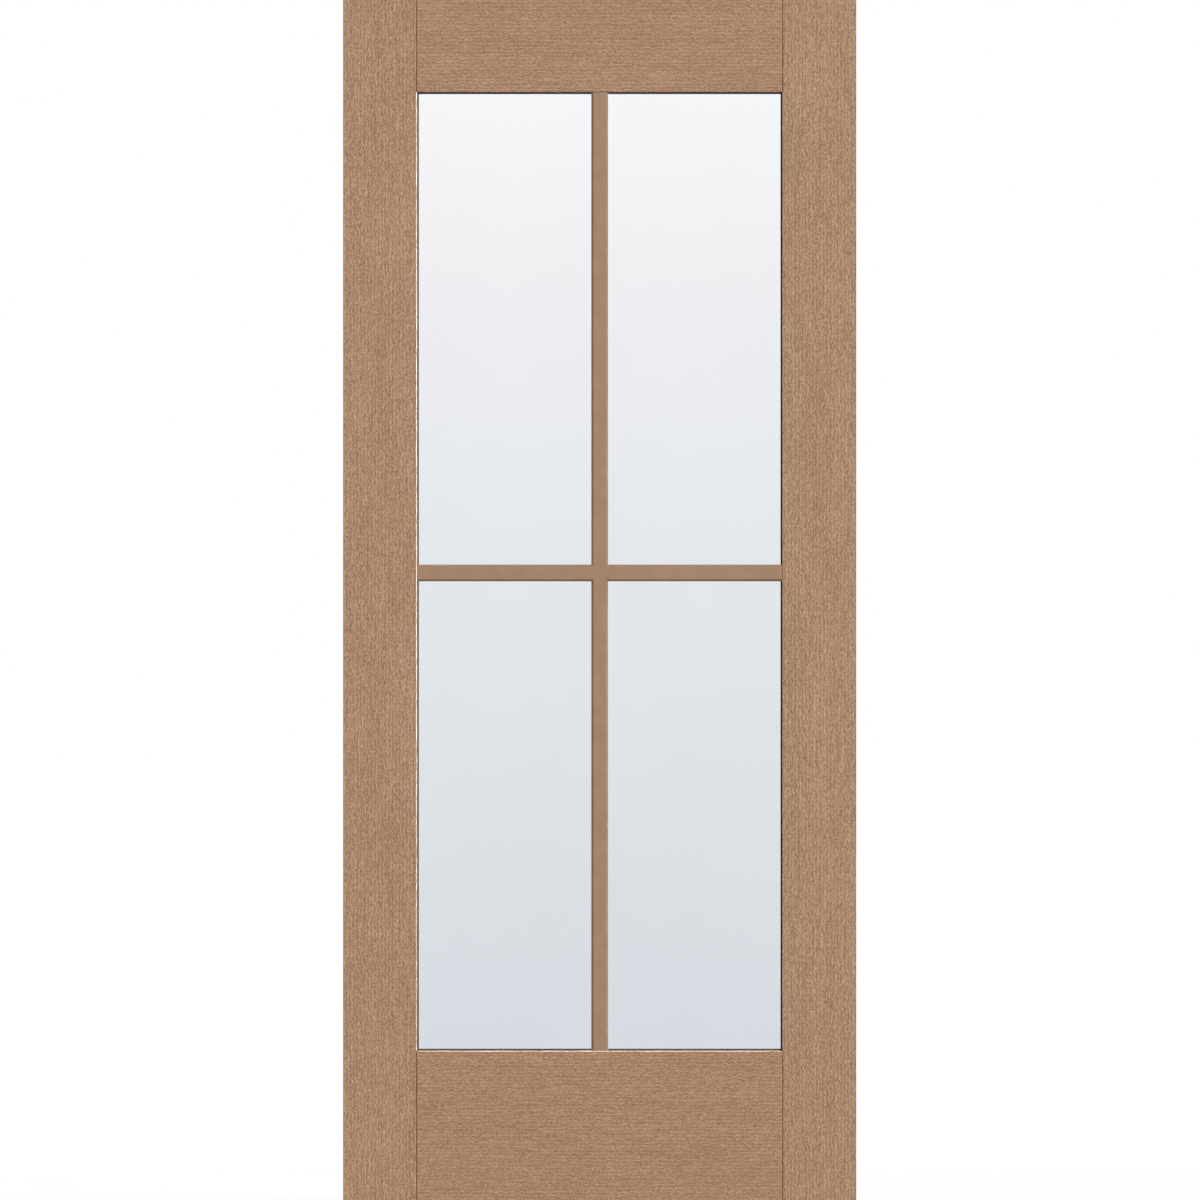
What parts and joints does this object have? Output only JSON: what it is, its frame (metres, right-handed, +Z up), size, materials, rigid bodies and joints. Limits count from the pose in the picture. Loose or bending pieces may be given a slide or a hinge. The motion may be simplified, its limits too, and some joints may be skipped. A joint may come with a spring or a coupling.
{
  "type": "fibreglass entrance door leaf",
  "caption": "Wood-grained fibreglass entrance door leaf with a tall clear lite set flush between its skins and divided by flat bevelled bars; it hangs on hinges by its edge.",
  "frame": {"origin": "foot of the hinge edge, half way through the leaf's thickness, on the flat face of the edge", "axes": "+Z up along the hinge edge; +X across the leaf from the hinge edge to the lock edge; -Y out of the exterior face"},
  "size_m": [0.8572, 0.0444, 2.0066],
  "materials": {
    "grained_skin": "moulded wood grain, satin",
    "hardwood_edge": "planed, stained",
    "laminated_lumber": "sawn, veneers showing at the ends",
    "composite_rail": "extruded, dull",
    "rigid_foam": "cellular",
    "clear_glass": "polished",
    "spacer": "dull",
    "sealant": "dull",
    "glazing_seal": "dull",
    "bar_finish": "smooth, satin",
    "inner_bar_finish": "painted, satin"
  },
  "bodies": {
    "root": {"exterior_skin": "grained_skin", "interior_skin": "grained_skin", "hinge_edge_strip": "hardwood_edge", "lock_edge_strip": "hardwood_edge", "hinge_stile": "laminated_lumber", "lock_stile": "laminated_lumber", "top_rail": "laminated_lumber", "bottom_rail": "composite_rail", "foam_core": "rigid_foam", "exterior_pane": "clear_glass", "interior_pane": "clear_glass", "pane_spacer": "spacer", "edge_sealant": "sealant", "exterior_glazing_seal": "glazing_seal", "interior_glazing_seal": "glazing_seal", "exterior_cross_bar": "bar_finish", "exterior_upper_bar": "bar_finish", "exterior_lower_bar": "bar_finish", "interior_cross_bar": "bar_finish", "interior_upper_bar": "bar_finish", "interior_lower_bar": "bar_finish", "inner_cross_bar": "inner_bar_finish", "inner_upper_bar": "inner_bar_finish", "inner_lower_bar": "inner_bar_finish"}
  },
  "joints": []
}
